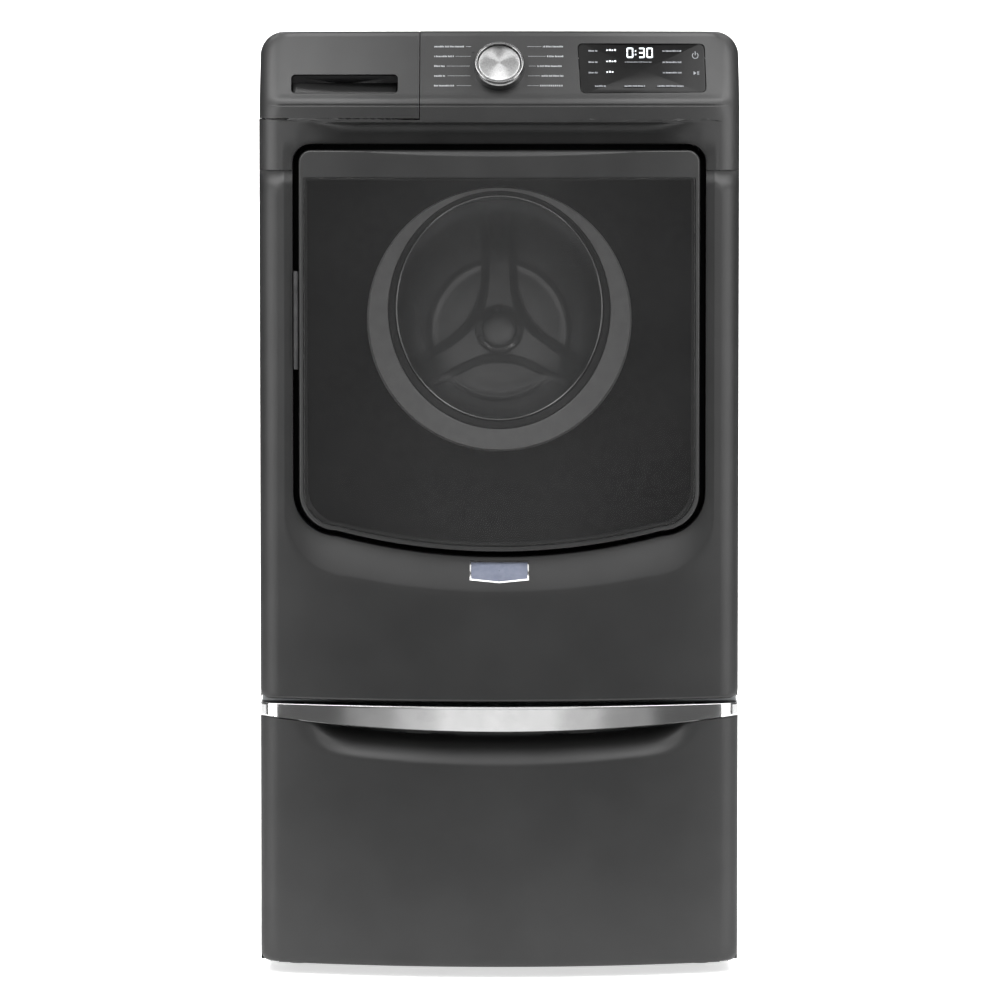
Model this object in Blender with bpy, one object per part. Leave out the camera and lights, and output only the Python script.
"""Front load washing machine on a pedestal with a drawer.

Metres, +Z up. The front faces -Y, and +X is on the viewer's right. The origin is on the floor, below
the middle of the machine. Each moving group hangs from an empty that stands on its joint's axis.
"""

import math

import bmesh
import bpy
from mathutils import Matrix, Vector

# ---------------------------------------------------------------- driving dimensions
WIDTH = 0.686
DEPTH = 0.787
HEIGHT = 1.352
FRONT_BOW = 0.060          # how far the middle of the front stands proud of its sides
FIT = 0.0003               # gap between touching pieces
SHEET = 0.0012             # pressed steel
MOULDING = 0.003           # moulded plastic wall

PEDESTAL_BOTTOM = 0.016
PEDESTAL_TOP = 0.390
PANEL_BOTTOM = 0.397
CONSOLE_BOTTOM = 1.154
CREASE = 1.246
FACE_BOTTOM = 1.255
FACE_TOP = 1.346
FACE_SLOPE = math.radians(33)
CONSOLE_BACK = -0.250
TOP_CORNER = 0.034         # radius of the machine's upper corners, seen from the front
LID_BOTTOM = 1.318
PANEL_RETURN = -0.312      # where the front panel's folded sides meet the cabinet wrap

RECESS_HALF = 0.2945
RECESS_BOTTOM = 0.604
RECESS_TOP = 1.191
RECESS_SAG = 0.028         # the lower edge of the recess hangs down in the middle
RECESS_PLATE = -0.306      # front of the plate behind the door
DOOR_GAP = 0.0085
WINDOW_TOP = 1.144
DOOR_BACK = -0.318
WINDOW_SKIN = 0.004

PORT_HEIGHT = 0.940        # centre of the porthole
PORT_RADIUS = 0.178
ROUND = 24                 # sides of the tub, the drum and what turns with them
RING_OUTER = 0.190
RING_INNER = 0.158
HINGE_X = -0.290
HINGE_Y = -0.347
HINGE_LOW = 0.870
HINGE_HIGH = 1.010

TUB_TILT = math.radians(4)
TUB_FRONT_Y = -0.240
TUB_RADIUS = 0.285
TUB_WALL = 0.004
TUB_LENGTH = 0.480
TUB_SPLIT = 0.240
DRUM_RADIUS = 0.262
DRUM_START = 0.025
DRUM_END = 0.440
SHAFT_RADIUS = 0.017
PULLEY_RADIUS = 0.150
MOTOR_PULLEY_RADIUS = 0.010
MOTOR_DROP = 0.350
BELT_PLANE = 0.552
BELT_WIDTH = 0.012

KNOB_HEIGHT = 1.297
KNOB_RADIUS = 0.036
KNOB_PROUD = 0.0155
DISPENSER_RIGHT = -0.113
DISPENSER_BOTTOM = 1.226
DISPLAY_LEFT = 0.114
DISPLAY_RIGHT = 0.297
DISPLAY_LOW = 1.262
DISPLAY_HIGH = 1.330

HANDLE_MIDDLE = 0.036      # height of the handle strip in the middle
HANDLE_SAG = 0.018         # how much lower its lower edge is in the middle than at its ends
HANDLE_THICK = 0.008
PULL_HALF = 0.200
PULL_BOTTOM = 0.312

HALF = WIDTH / 2
FRONT = -DEPTH / 2
BACK = DEPTH / 2
TUB_HEIGHT = PORT_HEIGHT - (TUB_FRONT_Y - RECESS_PLATE) * math.tan(TUB_TILT)
DOOR_HALF = RECESS_HALF - DOOR_GAP
DOOR_BOTTOM = RECESS_BOTTOM + DOOR_GAP + 0.0015
DOOR_TOP = RECESS_TOP - 0.007

STRAIGHT = Matrix.Identity(4)
PORT_AXIS = Matrix.Translation((0, 0, PORT_HEIGHT)) @ Matrix.Rotation(-math.pi / 2, 4, "X")
TUB_AXIS = (Matrix.Translation((0, TUB_FRONT_Y, TUB_HEIGHT))
            @ Matrix.Rotation(-math.pi / 2 - TUB_TILT, 4, "X"))


# ---------------------------------------------------------------- making solids
def clear_scene():
    for old in list(bpy.data.objects):
        bpy.data.objects.remove(old, do_unlink=True)


def look(name, colour, roughness, metallic=0.0):
    """A plain material with the piece's colour."""
    made = bpy.data.materials.new(name)
    made.use_nodes = True
    shader = made.node_tree.nodes["Principled BSDF"]
    shader.inputs["Base Color"].default_value = (*colour, 1)
    shader.inputs["Roughness"].default_value = roughness
    shader.inputs["Metallic"].default_value = metallic
    return made


def body(name, place):
    """An empty on a joint's axis, with the moving pieces below it."""
    empty = bpy.data.objects.new(name, None)
    bpy.context.scene.collection.objects.link(empty)
    empty.matrix_world = place
    return empty


def loft(name, rings, wrap=False):
    """A closed mesh through rings of points. It is capped, or wraps round to its first ring."""
    shape = bmesh.new()
    layers = [[shape.verts.new(point) for point in ring] for ring in rings]
    following = layers[1:] + layers[:1] if wrap else layers[1:]
    for first, second in zip(layers, following):
        for index in range(len(first)):
            after = (index + 1) % len(first)
            shape.faces.new((first[index], first[after], second[after], second[index]))
    if not wrap:
        shape.faces.new(layers[0])
        shape.faces.new(layers[-1])
    bmesh.ops.recalc_face_normals(shape, faces=shape.faces)
    mesh = bpy.data.meshes.new(name)
    shape.to_mesh(mesh)
    shape.free()
    made = bpy.data.objects.new(name, mesh)
    bpy.context.scene.collection.objects.link(made)
    return made


def solid(name, rings, material, parent=None, place=STRAIGHT, wrap=False):
    """One sub-part: a lofted solid with its material, standing at place, below its body's empty."""
    made = loft(name, rings, wrap)
    made.data.materials.append(material)
    made.data.shade_smooth()
    made.data.set_sharp_from_angle(angle=math.radians(30))
    made.matrix_world = place
    if parent:
        made.parent = parent
        made.matrix_parent_inverse = parent.matrix_basis.inverted()
    return made


def helper(rings, place=STRAIGHT, wrap=False):
    """A hidden solid that a Boolean uses."""
    made = loft("helper", rings, wrap)
    made.matrix_world = place
    made.hide_render = True
    made.display_type = "WIRE"
    return made


def combine(made, operation, others):
    for other in others:
        step = made.modifiers.new(operation.lower(), "BOOLEAN")
        step.operation = operation
        step.solver = "EXACT"
        step.object = other
    return made


def cut(made, *others):
    return combine(made, "DIFFERENCE", others)


def join(made, *others):
    return combine(made, "UNION", others)


def keep(made, *others):
    return combine(made, "INTERSECT", others)


# ---------------------------------------------------------------- outlines and rings
def block(low, high):
    (x0, y0, z0), (x1, y1, z1) = low, high
    corners = [(x0, y0), (x1, y0), (x1, y1), (x0, y1)]
    return [[(x, y, z) for x, y in corners] for z in (z0, z1)]


def turned(profile, sides):
    """Rings round the local Z axis through (radius, height) points."""
    angles = [2 * math.pi * step / sides for step in range(sides)]
    return [[(radius * math.cos(a), radius * math.sin(a), height) for a in angles]
            for radius, height in profile]


def arc(centre, radius, start, end, steps):
    """Points on an arc, with both its ends. Angles are in degrees."""
    angles = [math.radians(start + (end - start) * step / steps) for step in range(steps + 1)]
    return [(centre[0] + radius * math.cos(a), centre[1] + radius * math.sin(a)) for a in angles]


def rounded(x0, x1, z0, z1, low_radius, high_radius, steps=4):
    """A rectangle's outline with round corners, from its lower left, anticlockwise."""
    return (arc((x0 + low_radius, z0 + low_radius), low_radius, 180, 270, steps)
            + arc((x1 - low_radius, z0 + low_radius), low_radius, 270, 360, steps)
            + arc((x1 - high_radius, z1 - high_radius), high_radius, 0, 90, steps)
            + arc((x0 + high_radius, z1 - high_radius), high_radius, 90, 180, steps))


def through(outline, y0, y1):
    """Rings of an (x, z) outline that runs from y0 to y1."""
    return [[(x, y, z) for x, z in outline] for y in (y0, y1)]


def bow(x):
    return FRONT_BOW * (x / HALF) ** 2


def front(x):
    """Where the machine's front surface is."""
    return FRONT + bow(x)


def bowed(profile, x0, x1, stations=18):
    """Rings of a bar along X. A profile point is (depth, height), with the depth measured from the
    bowed front, or (None, height, y) where the point stays at that y."""
    rings = []
    for step in range(stations + 1):
        x = x0 + (x1 - x0) * step / stations
        rings.append([(x, point[2] if point[0] is None else front(x) + point[0], point[1])
                      for point in profile])
    return rings


def plate_on_front(outline_low, outline_high, near, far, x0, x1, stations=18):
    """Rings of a bar that follows the bow, between two depths behind the front."""
    return bowed([(near, outline_low), (near, outline_high), (far, outline_high), (far, outline_low)],
                 x0, x1, stations)


def tube(path, radius, sides):
    """Rings of a round bar along a path."""
    points = [Vector(point) for point in path]
    rings = []
    across = None
    for index, point in enumerate(points):
        before = points[max(index - 1, 0)]
        after = points[min(index + 1, len(points) - 1)]
        along = (after - before).normalized()
        if across is None:
            across = along.orthogonal().normalized()
        across = (across - along * across.dot(along)).normalized()
        other = along.cross(across)
        rings.append([point + radius * (math.cos(2 * math.pi * side / sides) * across
                                        + math.sin(2 * math.pi * side / sides) * other)
                      for side in range(sides)])
    return rings


def smooth_path(points, steps):
    """A Catmull-Rom curve through the points."""
    knots = [Vector(point) for point in points]
    knots = [2 * knots[0] - knots[1]] + knots + [2 * knots[-1] - knots[-2]]
    path = []
    for index in range(1, len(knots) - 2):
        p0, p1, p2, p3 = knots[index - 1:index + 3]
        for step in range(steps):
            t = step / steps
            path.append(0.5 * (2 * p1 + (p2 - p0) * t + (2 * p0 - 5 * p1 + 4 * p2 - p3) * t ** 2
                               + (3 * p1 - p0 - 3 * p2 + p3) * t ** 3))
    path.append(knots[-2])
    return path


def sagging_outline(half, low, high, sag, low_radius, high_radius):
    """A rectangle with round corners whose lower edge hangs down by sag in the middle."""
    points = rounded(-half, half, low, high, low_radius, high_radius)
    corner = 5
    left, right = points[:corner], points[corner:2 * corner]
    rise = [(x, z + sag) for x, z in left], [(x, z + sag) for x, z in right]
    inner = half - low_radius
    steps = 12
    middle = [(-inner + 2 * inner * step / steps, 0) for step in range(1, steps)]
    middle = [(x, low + sag * (x / inner) ** 2) for x, _ in middle]
    return rise[0] + middle + rise[1] + points[2 * corner:]


def recess_outline(inset=0.0):
    """The outline of the door recess, or one that lies inside it by inset."""
    return sagging_outline(RECESS_HALF - inset, RECESS_BOTTOM + inset, RECESS_TOP - inset,
                           RECESS_SAG, 0.062 - inset, 0.026 - min(inset, 0.012))


def window_outline(inset):
    """The outline of the door's dark window, or one that lies inside it by inset."""
    half = DOOR_HALF - 0.006 - inset
    return sagging_outline(half, DOOR_BOTTOM + 0.006 + inset, WINDOW_TOP - inset,
                           RECESS_SAG, 0.050, 0.002)


def strip_outline(low_shift, high, half):
    """The handle strip's outline: a straight top and a lower edge that hangs down in the middle."""
    steps = 14
    edge = [-half + 2 * half * step / steps for step in range(steps + 1)]
    lowest = PEDESTAL_TOP - HANDLE_MIDDLE + low_shift
    return [(x, lowest + HANDLE_SAG * (x / HALF) ** 2) for x in edge] + [(half, high), (-half, high)]


def face_depth(height):
    """How far the console's sloped face lies behind the front at a height."""
    return 0.004 + (height - FACE_BOTTOM) * math.tan(FACE_SLOPE)


def face_profile(bottom, back):
    """The console's cross-section from its front fascia over the sloped face to the flat back."""
    return [(0, bottom), (0, CREASE - 0.002), (0.003, CREASE + 0.001), (0.003, FACE_BOTTOM - 0.004),
            (face_depth(FACE_BOTTOM), FACE_BOTTOM), (face_depth(FACE_TOP), FACE_TOP),
            (face_depth(FACE_TOP) + 0.006, HEIGHT), (None, HEIGHT, back), (None, bottom, back)]


def hollow_profile(bottom, back):
    """The space inside the console's cross-section."""
    wall = MOULDING
    behind = wall / math.cos(FACE_SLOPE)
    top = FACE_TOP - 0.004
    return [(wall, bottom), (wall, CREASE - 0.003), (face_depth(FACE_BOTTOM) + behind, FACE_BOTTOM),
            (face_depth(top) + behind, top), (face_depth(FACE_TOP) + 0.0085, HEIGHT - wall),
            (None, HEIGHT - wall, back), (None, bottom, back)]


def slope_strip(low, high, near, far):
    """A flat strip on the console's sloped face, between two depths behind it."""
    return [(face_depth(low) + near, low), (face_depth(high) + near, high),
            (face_depth(high) + far, high), (face_depth(low) + far, low)]


def upper_corners(inset):
    """A hidden bar along Y with the machine's round upper corners, to shape what reaches the top."""
    half = HALF - inset + (0.001 if inset == 0 else 0)
    return helper(through(rounded(-half, half, 1.10, HEIGHT - inset, 0.001, TOP_CORNER - inset, 6),
                          -0.45, -0.10))


def sector(inner, outer, s0, s1, start, end, steps):
    """Rings of a curved block round the local Z axis. Angles are in degrees."""
    rings = []
    for step in range(steps + 1):
        a = math.radians(start + (end - start) * step / steps)
        rings.append([(r * math.cos(a), r * math.sin(a), s)
                      for r, s in ((inner, s0), (outer, s0), (outer, s1), (inner, s1))])
    return rings


clear_scene()

# ---------------------------------------------------------------- materials
SLATE = look("slate_paint", (0.060, 0.062, 0.062), 0.38, 0.35)
CONSOLE_PAINT = look("console_paint", (0.085, 0.087, 0.087), 0.42, 0.3)
CHROME = look("chrome", (0.80, 0.80, 0.81), 0.12, 1.0)
SATIN = look("satin_metal", (0.62, 0.62, 0.63), 0.28, 1.0)
DARK_GLASS = look("dark_glass", (0.012, 0.013, 0.013), 0.06)
DISPLAY_GLASS = look("display_glass", (0.02, 0.021, 0.022), 0.15)
CLEAR_GLASS = look("clear_glass", (0.75, 0.78, 0.78), 0.05)
RING_PLASTIC = look("ring_plastic", (0.16, 0.17, 0.17), 0.3)
BLACK_PLASTIC = look("black_plastic", (0.02, 0.02, 0.02), 0.5)
WHITE_PLASTIC = look("white_plastic", (0.75, 0.75, 0.74), 0.45)
TUB_PLASTIC = look("tub_plastic", (0.45, 0.46, 0.46), 0.55)
STEEL = look("stainless_steel", (0.60, 0.61, 0.61), 0.3, 1.0)
ZINC = look("zinc_plated_steel", (0.52, 0.53, 0.53), 0.45, 0.9)
CAST = look("cast_aluminium", (0.50, 0.50, 0.50), 0.5, 0.9)
RUBBER = look("rubber", (0.09, 0.09, 0.095), 0.75)
STONE = look("counterweight_stone", (0.42, 0.41, 0.39), 0.9)
MOTOR_PAINT = look("motor_paint", (0.08, 0.08, 0.085), 0.45, 0.5)

# ---------------------------------------------------------------- joint axes
HINGE_AXIS = Matrix.Translation((HINGE_X, HINGE_Y, (HINGE_LOW + HINGE_HIGH) / 2))
KNOB_AXIS = (Matrix.Translation((0, FRONT + face_depth(KNOB_HEIGHT), KNOB_HEIGHT))
             @ Matrix.Rotation(math.pi / 2 - FACE_SLOPE, 4, "X"))
MOTOR_AXIS = TUB_AXIS @ Matrix.Translation((0, MOTOR_DROP, 0))
DOOR = body("door_axis", HINGE_AXIS)
TUB = body("tub_centre", TUB_AXIS)
DRUM = body("drum_axis", TUB_AXIS)
ROTOR = body("rotor_axis", MOTOR_AXIS)
KNOB = body("knob_axis", KNOB_AXIS)
DISPENSER = body("dispenser_slide", Matrix.Translation((-HALF / 2, 0, DISPENSER_BOTTOM)))
DRAWER = body("drawer_slide", Matrix.Translation((0, 0, PEDESTAL_TOP / 2)))
RAILS = {side: body("rail_slide_" + side, Matrix.Translation((sign * HALF, 0, PEDESTAL_TOP / 2)))
         for side, sign in (("left", -1), ("right", 1))}


# ---------------------------------------------------------------- pedestal
def pedestal():
    feet = [(x, y) for x in (-0.29, 0.29) for y in (-0.222, 0.33)]
    skin = 0.0015
    shell = solid("pedestal_shell",
                  block((-HALF, -0.3165, PEDESTAL_BOTTOM + 0.002), (HALF, 0.386, PEDESTAL_TOP)), SLATE)
    cut(shell, helper(block((-HALF + skin, -0.4, PEDESTAL_BOTTOM + 0.002 + skin),
                            (HALF - skin, 0.386 - skin, PEDESTAL_TOP - skin))))
    for number, (x, y) in enumerate(feet, 1):
        place = Matrix.Translation((x, y, 0))
        cut(shell, helper(turned([(0.0075, 0.010), (0.0075, 0.030)], 12), place))
        carrier = body(f"foot_slide_{number}", place)
        solid(f"levelling_foot_{number}",
              turned([(0.020, 0), (0.020, 0.007), (0.012, 0.008), (0.012, 0.0177),
                      (0.006, 0.0177), (0.006, 0.036)], 12), RUBBER, carrier, place)


def pedestal_drawer():
    top = PEDESTAL_TOP - 0.0015
    flat_back = -0.3168
    panel = solid("pedestal_front",
                  bowed([(0, PEDESTAL_BOTTOM), (0, top), (None, top, flat_back),
                         (None, PEDESTAL_BOTTOM, flat_back)], -HALF, HALF), SLATE, DRAWER)
    keep(panel, helper(through(rounded(-HALF - 0.0001, HALF + 0.0001, PEDESTAL_BOTTOM, top + 0.001,
                                       0.014, 0.001), -0.45, -0.30)))
    skin = 0.002
    cut(panel, helper(bowed([(skin, PEDESTAL_BOTTOM + skin), (skin, top - skin),
                             (None, top - skin, flat_back - skin),
                             (None, PEDESTAL_BOTTOM + skin, flat_back - skin)],
                            -HALF + skin, HALF - skin)))
    pocket_wall = helper(plate_on_front(PULL_BOTTOM - 0.006, top - 0.003, 0.001, 0.048,
                                        -PULL_HALF - 0.005, PULL_HALF + 0.005))
    join(panel, pocket_wall)
    pocket = helper(plate_on_front(PULL_BOTTOM - 0.01, top - 0.001, -0.01, 0.044,
                                   -PULL_HALF - 0.01, PULL_HALF + 0.01))
    keep(pocket, helper(through(rounded(-PULL_HALF, PULL_HALF, PULL_BOTTOM, top - 0.009, 0.03, 0.004),
                                -0.45, -0.30)))
    step_cut = helper(plate_on_front(0.30, 0.41, -0.01, HANDLE_THICK + FIT, -HALF - 0.001, HALF + 0.001))
    keep(step_cut, helper(through(strip_outline(-0.0005, 0.405, HALF + 0.0005), -0.45, -0.30)))
    cut(panel, pocket, step_cut, helper(block((-0.02, -0.33, 0.10), (0.02, -0.31, 0.14))))

    strip = solid("handle_strip",
                  plate_on_front(0.34, 0.40, 0, HANDLE_THICK, -HALF, HALF), CHROME, DRAWER)
    keep(strip, helper(through(strip_outline(0, PEDESTAL_TOP + 0.0005, HALF + 0.0005), -0.45, -0.30)))

    rail = helper(block((-0.331, -0.30, 0.163), (0.331, 0.33, 0.182)))
    storage = solid("pedestal_bin", block((-0.300, flat_back + FIT, 0.045), (0.300, 0.330, 0.330)),
                    ZINC, DRAWER)
    join(storage, rail)
    cut(storage, helper(block((-0.2985, -0.315, 0.0465), (0.2985, 0.3285, 0.36))))


def pedestal_rails():
    for side, sign in (("left", -1), ("right", 1)):
        def across(low, high):
            return sorted((sign * low, sign * high))

        x0, x1 = across(0.3265, 0.3412)
        outer = solid(f"rail_outer_{side}", block((x0, -0.30, 0.150), (x1, 0.36, 0.195)), ZINC)
        x0, x1 = across(0.320, 0.3392)
        cut(outer, helper(block((x0, -0.31, 0.154), (x1, 0.37, 0.191))))
        x0, x1 = across(0.3175, 0.3360)
        middle = solid(f"rail_middle_{side}", block((x0, -0.30, 0.157), (x1, 0.34, 0.188)),
                       ZINC, RAILS[side])
        x0, x1 = across(0.310, 0.3335)
        cut(middle, helper(block((x0, -0.31, 0.160), (x1, 0.35, 0.185))))


# ---------------------------------------------------------------- cabinet
def cabinet():
    back = 0.386
    wrap = solid("cabinet_wrap", block((-HALF, PANEL_RETURN + 0.0005, PANEL_BOTTOM + 0.0005),
                                       (HALF, back, LID_BOTTOM - 0.0005)), SLATE)
    cut(wrap, helper(block((-HALF + SHEET, -0.4, 0.3), (HALF - SHEET, back - SHEET, 1.4))))
    cut(wrap, helper(block((-0.31, 0.37, 0.44), (0.31, 0.40, 1.300))))
    cut(wrap, helper(block((-0.36, -0.4, 1.1950), (0.36, CONSOLE_BACK + 0.0008, 1.35))))
    for sign in (-1, 1):
        x0, x1 = sorted((sign * 0.262, sign * (HALF - SHEET / 2)))
        join(wrap, helper(block((x0, 0.035, 1.292), (x1, 0.065, 1.312))))

    rear = solid("rear_panel", block((-0.330, back + FIT, 0.42), (0.330, back + 0.0018, 1.314)), ZINC)
    cut(rear, helper(block((-0.299, 0.38, 1.246), (-0.241, 0.40, 1.274))),
        helper(block((0.20, 0.38, 1.20), (0.24, 0.40, 1.24))))

    pan = solid("base_pan", block((-0.3412, -0.302, PEDESTAL_TOP + FIT), (0.3412, 0.384, 0.436)), ZINC)
    cut(pan, helper(block((-0.339, -0.299, 0.393), (0.339, 0.381, 0.45))))

    near = CONSOLE_BACK + 0.0008
    wall = 0.003
    lid = solid("top_panel", through(rounded(-HALF, HALF, LID_BOTTOM, HEIGHT, 0.0005, TOP_CORNER - 0.001,
                                             6), near, BACK), SLATE)
    cut(lid, helper(through(rounded(-HALF + wall, HALF - wall, 1.25, HEIGHT - wall, 0.001,
                                    TOP_CORNER - 0.001 - wall, 6), near + wall, BACK - wall)))


def front_panel():
    top = CONSOLE_BOTTOM - 0.0005
    skin = 0.002
    panel = solid("front_panel",
                  bowed([(0, PANEL_BOTTOM), (0, top), (None, top, PANEL_RETURN),
                         (None, PANEL_BOTTOM, PANEL_RETURN)], -HALF, HALF), SLATE)
    cut(panel, helper(bowed([(skin, PANEL_BOTTOM + skin), (skin, top - skin), (None, top - skin, -0.2),
                             (None, PANEL_BOTTOM + skin, -0.2)], -HALF + skin, HALF - skin)))
    surround = helper(through(recess_outline(-skin), -0.42, RECESS_PLATE + skin))
    keep(surround, helper(bowed([(0.0005, 0.5), (0.0005, top - 0.0001), (None, top - 0.0001, -0.2),
                                 (None, 0.5, -0.2)], -HALF, HALF)))
    join(panel, surround)
    cut(panel, helper(through(recess_outline(), -0.45, RECESS_PLATE)))
    join(panel, helper(through(recess_outline(0.001), RECESS_PLATE - 0.0002, RECESS_PLATE + skin)))
    cut(panel, helper(turned([(PORT_RADIUS, -0.32), (PORT_RADIUS, -0.29)], 32), PORT_AXIS),
        helper(block((0.256, -0.32, 0.924), (0.282, -0.29, 0.956))))


def console():
    made = solid("console", bowed(face_profile(CONSOLE_BOTTOM, CONSOLE_BACK), -HALF, HALF),
                 CONSOLE_PAINT)
    keep(made, upper_corners(0))
    hollow = helper(bowed(hollow_profile(1.196, -0.2), -HALF + MOULDING, HALF - MOULDING))
    keep(hollow, upper_corners(MOULDING))
    cut(made, hollow,
        helper(block((-0.35, PANEL_RETURN, 1.15), (0.35, -0.2, 1.1955))),
        helper(through(recess_outline(), -0.45, -0.2)),
        helper(block((-0.36, -0.45, DISPENSER_BOTTOM - 0.0005), (DISPENSER_RIGHT + 0.0005, -0.2, 1.36))))
    scoop = helper(bowed([(-0.001, 1.222), (0.003, 1.222), (0.026, 1.190), (-0.001, 1.190)],
                         -PULL_HALF, PULL_HALF))
    lining = helper(bowed([(0.001, 1.2245), (0.006, 1.2245), (0.030, 1.1925), (0.001, 1.1925)],
                          -PULL_HALF - 0.003, PULL_HALF + 0.003))
    join(made, lining)
    cut(made, scoop)
    display = slope_strip(DISPLAY_LOW - 0.0005, DISPLAY_HIGH + 0.0005, -0.01, 0.0021)
    cut(made, helper(bowed(display, DISPLAY_LEFT - 0.0005, DISPLAY_RIGHT + 0.0005, 6)),
        helper(turned([(0.0085, -0.03), (0.0085, 0.03)], 16), KNOB_AXIS))
    solid("control_glass", bowed(slope_strip(DISPLAY_LOW, DISPLAY_HIGH, 0.0002, 0.0017),
                                 DISPLAY_LEFT, DISPLAY_RIGHT, 6), DISPLAY_GLASS)


def knob():
    solid("knob_ring", turned([(0.0050, -0.020), (0.0075, -0.020), (0.0075, 0.001), (KNOB_RADIUS, 0.001),
                               (KNOB_RADIUS, 0.012), (0.0335, KNOB_PROUD), (0.030, KNOB_PROUD),
                               (0.030, 0.004), (0.0050, 0.004)], 32), CHROME, KNOB, KNOB_AXIS, True)
    push = body("button_slide", KNOB_AXIS)
    solid("knob_button", turned([(0.0044, -0.018), (0.0044, 0.0062), (0.0294, 0.0062),
                                 (0.0294, 0.014), (0.027, 0.0152)], 32), SATIN, push, KNOB_AXIS)


def detergent_drawer():
    left = -HALF + 0.0015
    right = DISPENSER_RIGHT - 0.0005
    bottom = DISPENSER_BOTTOM + 0.0005
    back = CONSOLE_BACK - 0.0005
    made = solid("dispenser_front", bowed(face_profile(bottom, back), left, right, 8),
                 CONSOLE_PAINT, DISPENSER)
    keep(made, upper_corners(0.0005))
    hollow = helper(bowed(hollow_profile(bottom + MOULDING, back - 0.002),
                          left + MOULDING, right - MOULDING, 8))
    keep(hollow, upper_corners(MOULDING + 0.0005))
    cut(made, hollow)
    low, high = 1.259, 1.294
    wall = 0.004
    join(made, helper(bowed([(face_depth(low) + 0.001, low), (face_depth(high) + 0.001, high),
                             (None, high, -0.301), (None, low, -0.301)], -0.301, -0.140, 6)))
    slot = rounded(-0.297, -0.144, low + wall, high - wall, 0.006, 0.006, 3)
    cut(made, helper(through(slot, -0.42, -0.304)),
        helper(block((-0.24, -0.26, 1.30), (-0.22, -0.24, 1.32))))

    tray = solid("dispenser_tray", block((-0.331, back + FIT, 1.2325), (-0.126, -0.055, 1.312)),
                 WHITE_PLASTIC, DISPENSER)
    wall = 0.002
    pitch = (0.205 - wall) / 3
    for number in range(3):
        x0 = -0.331 + wall + number * pitch
        cut(tray, helper(block((x0, back + FIT + wall, 1.2345), (x0 + pitch - wall, -0.057, 1.33))))


def dispenser():
    spout = Matrix.Translation((-0.20, -0.08, 0))
    housing = solid("dispenser_housing", block((-0.337, -0.249, 1.224), (-0.120, -0.040, 1.3172)),
                    WHITE_PLASTIC)
    cut(housing, helper(block((-0.334, -0.26, 1.227), (-0.123, -0.043, 1.3145))))
    join(housing, helper(turned([(0.014, 1.205), (0.014, 1.2255)], 12), spout))
    cut(housing, helper(turned([(0.011, 1.20), (0.011, 1.24)], 12), spout))
    route = [(-0.20, -0.08, 1.2030), (-0.20, -0.08, 1.197), (-0.206, -0.083, 1.184),
             (-0.196, -0.078, 1.166), (-0.20, -0.08, 1.152), (-0.20, -0.08, 1.1455)]
    solid("dispenser_hose", tube(smooth_path(route, 4), 0.013, 10), RUBBER)

    valve = solid("inlet_valve", block((-0.300, 0.345, 1.240), (-0.240, 0.3855, 1.280)), BLACK_PLASTIC)
    for x in (-0.284, -0.256):
        place = Matrix.Translation((x, 0, 1.260)) @ Matrix.Rotation(-math.pi / 2, 4, "X")
        join(valve, helper(turned([(0.010, 0.380), (0.010, 0.3925)], 12), place))


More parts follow.
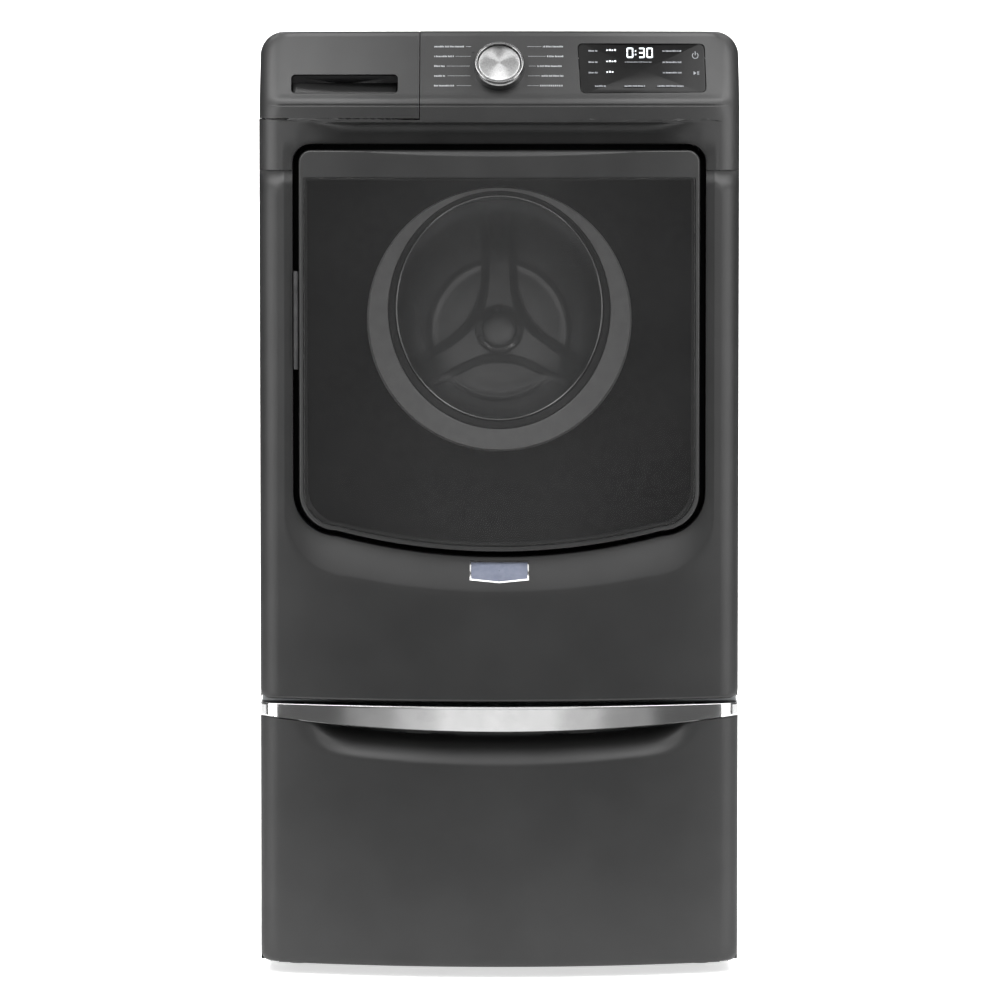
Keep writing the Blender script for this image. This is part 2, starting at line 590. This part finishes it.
# ---------------------------------------------------------------- door
def door():
    outline = recess_outline(DOOR_GAP)
    low, high = DOOR_BOTTOM - 0.01, RECESS_TOP
    frame = solid("door_frame", bowed([(0, low), (0, high), (None, high, DOOR_BACK),
                                       (None, low, DOOR_BACK)], -DOOR_HALF - 0.001, DOOR_HALF + 0.001),
                  CONSOLE_PAINT, DOOR)
    keep(frame, helper(through(outline, -0.45, -0.30)))
    inside = helper(bowed([(0.008, low), (0.008, high), (None, high, -0.30), (None, low, -0.30)],
                          -DOOR_HALF, DOOR_HALF))
    keep(inside, helper(through(recess_outline(DOOR_GAP + 0.003), -0.45, -0.29)))
    cut(inside, helper(turned([(0.1945, -0.45), (0.1945, -0.28)], 32), PORT_AXIS))
    pocket = helper(plate_on_front(0.58, 1.17, -0.01, WINDOW_SKIN + 0.0005, -0.29, 0.29))
    keep(pocket, helper(through(window_outline(0), -0.45, -0.30)))
    cut(frame, inside, pocket, helper(turned([(0.1925, -0.45), (0.1925, -0.28)], 32), PORT_AXIS))
    for sign in (-1, 1):
        corner = [(sign * 0.2875, -0.3445), (sign * 0.2875, -0.362), (sign * 0.278, -0.362)]
        cut(frame, helper([[(x, y, z) for x, y in corner] for z in (0.55, 1.25)]))

    window = solid("door_window", plate_on_front(0.58, 1.17, 0, WINDOW_SKIN, -0.29, 0.29),
                   DARK_GLASS, DOOR)
    keep(window, helper(through(window_outline(0.0005), -0.45, -0.30)))

    liner = solid("door_liner", through(recess_outline(DOOR_GAP + 0.001), DOOR_BACK + FIT,
                                        DOOR_BACK + MOULDING), BLACK_PLASTIC, DOOR)
    join(liner, helper(turned([(0.188, -0.3457), (0.188, DOOR_BACK + 0.001)], 32), PORT_AXIS))
    cut(liner, helper(turned([(0.172, -0.36), (0.172, -0.30)], 32), PORT_AXIS))

    solid("door_ring", turned([(RING_INNER, -0.368), (RING_OUTER, -0.366), (RING_OUTER, -0.3533),
                               (RING_INNER, -0.3533)], 32), RING_PLASTIC, DOOR, PORT_AXIS, True)
    solid("door_bowl", turned([(0.001, -0.210), (0.100, -0.213), (0.122, -0.222), (0.133, -0.240),
                               (0.150, -0.345), (0.153, -0.353), (0.188, -0.353), (0.188, -0.347),
                               (0.158, -0.346), (0.139, -0.238), (0.127, -0.216), (0.103, -0.2065),
                               (0.001, -0.2035)], ROUND), CLEAR_GLASS, DOOR, PORT_AXIS)

    hook = solid("door_hook", block((0.262, DOOR_BACK + MOULDING + FIT, 0.930),
                                    (0.270, -0.286, 0.950)), CAST, DOOR)
    join(hook, helper(block((0.258, -0.296, 0.930), (0.265, -0.286, 0.950))))
    lock = solid("door_lock", block((0.250, RECESS_PLATE + 0.0023, 0.915), (0.290, -0.262, 0.965)),
                 BLACK_PLASTIC)
    cut(lock, helper(block((0.254, -0.31, 0.922), (0.283, -0.268, 0.958))))


def door_hinge():
    pin_low = HINGE_LOW + 0.030
    pin_high = HINGE_HIGH - 0.030
    line = Matrix.Translation((HINGE_X, HINGE_Y, 0))
    bracket = solid("hinge_bracket", block((-0.2936, HINGE_Y, HINGE_LOW),
                                           (-0.2906, RECESS_PLATE - FIT, HINGE_HIGH)), BLACK_PLASTIC)
    cut(bracket, helper(block((-0.296, -0.352, pin_low - 0.0005), (-0.285, -0.3425, pin_high + 0.0005))))
    join(bracket, helper(turned([(0.0036, HINGE_LOW), (0.0036, pin_low), (0.0022, pin_low),
                                 (0.0022, pin_high), (0.0036, pin_high), (0.0036, HINGE_HIGH)], 12), line))
    arm = solid("door_hinge_arm", block((-0.2896, -0.3440, pin_low + 0.0005),
                                        (-DOOR_HALF - FIT, -0.322, pin_high - 0.0005)),
                BLACK_PLASTIC, DOOR)
    join(arm, helper(turned([(0.0036, pin_low + 0.0005), (0.0036, pin_high - 0.0005)], 12), line))
    cut(arm, helper(turned([(0.0026, 0.85), (0.0026, 1.03)], 12), line))


def bellows():
    """The folded rubber seal, from the porthole's plate to the tub's tilted mouth."""
    folds = [(0.180, 0.0), (0.191, 0.15), (0.195, 0.35), (0.186, 0.5), (0.184, 0.62), (0.193, 0.8),
             (0.192, 1.0)]
    thick = 0.003
    start = Vector((0, RECESS_PLATE + 0.0024, PORT_HEIGHT))
    end = TUB_AXIS @ Vector((0, 0, -0.0006))
    loop = folds + [(radius - thick, part) for radius, part in reversed(folds)]
    rings = []
    for radius, part in loop:
        place = (Matrix.Translation(start.lerp(end, part))
                 @ Matrix.Rotation(-math.pi / 2 - TUB_TILT * part, 4, "X"))
        rings.append([place @ Vector(point) for point in turned([(radius, 0)], ROUND)[0]])
    solid("door_bellows", rings, RUBBER, wrap=True)


# ---------------------------------------------------------------- tub and drum
def tub():
    inner = TUB_RADIUS - TUB_WALL
    flange = TUB_RADIUS + 0.008
    mouth = 0.180
    fore = solid("tub_front",
                 turned([(mouth, 0), (TUB_RADIUS, 0), (TUB_RADIUS, TUB_SPLIT - 0.008),
                         (flange, TUB_SPLIT - 0.008), (flange, TUB_SPLIT - FIT),
                         (inner, TUB_SPLIT - FIT), (inner, TUB_WALL), (mouth, TUB_WALL)], ROUND),
                 TUB_PLASTIC, TUB, TUB_AXIS, True)
    join(fore, helper(block((-0.05, 0.270, 0.05), (0.05, 0.305, 0.15)), TUB_AXIS))
    cut(fore, helper(block((-0.046, 0.255, 0.054), (0.046, 0.301, 0.146)), TUB_AXIS),
        helper(block((-0.01, 0.29, 0.09), (0.01, 0.31, 0.11)), TUB_AXIS))
    rear = solid("tub_rear",
                 turned([(inner, TUB_SPLIT + FIT), (flange, TUB_SPLIT + FIT), (flange, TUB_SPLIT + 0.008),
                         (TUB_RADIUS, TUB_SPLIT + 0.008), (TUB_RADIUS, TUB_LENGTH), (0.050, TUB_LENGTH),
                         (0.050, 0.540), (0.0316, 0.540), (0.0316, 0.470), (0.052, 0.470),
                         (0.052, TUB_LENGTH - TUB_WALL), (inner, TUB_LENGTH - TUB_WALL)], ROUND),
                 TUB_PLASTIC, TUB, TUB_AXIS, True)
    for sign in (-1, 1):
        x0, x1 = sorted((sign * 0.256, sign * 0.290))
        join(rear, helper(block((x0, 0.035, 1.030), (x1, 0.065, 1.100))))
        x0, x1 = sorted((sign * 0.198, sign * 0.228))
        join(rear, helper(block((x0, 0.085, 0.660), (x1, 0.115, 0.715))))
    cut(rear, helper(block((-0.045, 0.262, 0.47), (0.045, 0.2795, 0.49)), TUB_AXIS))
    for name, start in (("front", 0.472), ("rear", 0.522)):
        solid(f"bearing_{name}", turned([(0.0173, start), (0.0313, start), (0.0313, start + 0.016),
                                         (0.0173, start + 0.016)], ROUND), ZINC, TUB, TUB_AXIS, True)
    solid("counterweight_upper", sector(0.2885, 0.335, 0.02, 0.16, -108, -72, 6), STONE, TUB, TUB_AXIS)
    solid("counterweight_lower", sector(0.200, 0.278, -0.036, -0.0006, 40, 140, 10), STONE, TUB,
          TUB_AXIS)

    bend = arc((0, 0.30), 0.03, 180, 360, 8)
    route = [(-0.03, 0.2715, 0.484)] + [(x, 0.2715, s) for x, s in bend] + [(0.03, 0.2715, 0.484)]
    heater = solid("heater", tube(route, 0.0035, 8), STEEL, TUB, TUB_AXIS)
    join(heater, helper(block((-0.048, 0.258, TUB_LENGTH + FIT), (0.048, 0.282, 0.488)), TUB_AXIS))


def drum():
    steel = 0.0012
    outer = DRUM_RADIUS
    solid("drum", turned([(0.001, DRUM_END - steel), (outer - steel, DRUM_END - steel),
                          (outer - steel, 0.0458), (0.200, DRUM_START + steel), (0.185, 0.0300),
                          (0.185, 0.0286), (0.200, DRUM_START), (outer, 0.0448), (outer, DRUM_END),
                          (0.001, DRUM_END)], ROUND), STEEL, DRUM, TUB_AXIS)
    for number in range(3):
        place = TUB_AXIS @ Matrix.Rotation(math.radians(30 + 120 * number), 4, "Z")
        rings = []
        for s, top, half_angle in ((0.06, 0.246, 4), (0.10, 0.208, 2.5), (0.39, 0.208, 2.5),
                                   (0.42, 0.246, 4)):
            base = arc((0, 0), 0.2580, -8, 8, 4)
            crest = arc((0, 0), top, half_angle, -half_angle, 2)
            rings.append([(x, y, s) for x, y in base + crest])
        solid(f"baffle_{number + 1}", rings, TUB_PLASTIC, DRUM, place)
    spider = solid("drum_spider", turned([(0.048, DRUM_END + FIT), (0.048, 0.462), (SHAFT_RADIUS, 0.464),
                                          (SHAFT_RADIUS, 0.574)], ROUND), CAST, DRUM, TUB_AXIS)
    for number in range(3):
        place = TUB_AXIS @ Matrix.Rotation(math.radians(30 + 120 * number), 4, "Z")
        join(spider, helper(block((0.0, -0.022, DRUM_END + FIT), (0.250, 0.022, 0.455)), place))
    rim = PULLEY_RADIUS
    solid("drum_pulley", turned([(SHAFT_RADIUS + FIT, 0.543), (0.034, 0.543), (0.034, 0.550),
                                 (rim - 0.01, 0.550), (rim - 0.01, 0.545), (rim, 0.545), (rim, 0.559),
                                 (rim - 0.01, 0.559), (rim - 0.01, 0.554), (SHAFT_RADIUS + FIT, 0.554)],
                                ROUND), CAST, DRUM, TUB_AXIS, True)


def drive():
    motor = solid("motor", turned([(0.001, 0.500), (0.0075, 0.500), (0.0075, 0.540), (0.050, 0.540),
                                   (0.055, 0.535), (0.055, 0.415), (0.050, 0.410), (0.001, 0.410)], 24),
                  MOTOR_PAINT, TUB, MOTOR_AXIS)
    join(motor, helper(block((-0.03, 0.287, 0.43), (0.03, 0.302, 0.52)), TUB_AXIS))
    solid("motor_pulley", turned([(0.006, 0.505), (0.006, 0.5445), (MOTOR_PULLEY_RADIUS, 0.5445),
                                  (MOTOR_PULLEY_RADIUS, 0.560)], 16), ZINC, ROTOR, MOTOR_AXIS)
    large = PULLEY_RADIUS + 0.0016
    small = MOTOR_PULLEY_RADIUS + 0.001
    leave = math.degrees(math.acos((large - small) / MOTOR_DROP))

    def loop(extra, s):
        points = (arc((0, 0), large + extra, 90 + leave, 450 - leave, 20)
                  + arc((0, MOTOR_DROP), small + extra, 90 - leave, 90 + leave, 6))
        return [(x, y, s) for x, y in points]

    near = BELT_PLANE - BELT_WIDTH / 2
    far = BELT_PLANE + BELT_WIDTH / 2
    solid("drive_belt", [loop(0, near), loop(0.003, near), loop(0.003, far), loop(0, far)],
          RUBBER, TUB, TUB_AXIS, True)


def suspension():
    turns = 7
    sides = 7
    wire = 0.0025
    low, high = 1.1040, 1.2885
    for side, sign in (("left", -1), ("right", 1)):
        centre = (sign * 0.275, 0.05)
        path = []
        for step in range(turns * sides + 1):
            a = 2 * math.pi * step / sides
            part = step / (turns * sides)
            path.append((centre[0] + 0.014 * math.cos(a), centre[1] + 0.014 * math.sin(a),
                         low + (high - low) * part))
        solid(f"suspension_spring_{side}", tube(path, wire, 4), STEEL)
        place = Matrix.Translation((sign * 0.213, 0.10, 0))
        solid(f"damper_cylinder_{side}", turned([(0.001, 0.410), (0.0062, 0.410), (0.0062, 0.580),
                                                 (0.017, 0.580), (0.017, 0.3933), (0.001, 0.3933)], 12),
              BLACK_PLASTIC, None, place)
        solid(f"damper_rod_{side}", turned([(0.005, 0.500), (0.005, 0.6597)], 12), STEEL, TUB, place)


def drain():
    pump = solid("drain_pump", block((0.06, -0.235, 0.3934), (0.17, -0.125, 0.450)), BLACK_PLASTIC)
    place = Matrix.Translation((0.115, -0.18, 0))
    join(pump, helper(turned([(0.022, 0.445), (0.022, 0.470)], 12), place))
    start = TUB_AXIS @ Vector((0, 0.3080, 0.10))
    down = TUB_AXIS.to_3x3() @ Vector((0, 1, 0))
    route = [start, start + down * 0.02, start + down * 0.06 + Vector((0.02, 0, 0)),
             (0.098, -0.18, 0.515), (0.115, -0.18, 0.487), (0.115, -0.18, 0.4730)]
    solid("sump_hose", tube(smooth_path(route, 4), 0.016, 10), RUBBER)


pedestal()
pedestal_drawer()
pedestal_rails()
cabinet()
front_panel()
console()
knob()
detergent_drawer()
dispenser()
door()
door_hinge()
bellows()
tub()
drum()
drive()
suspension()
drain()
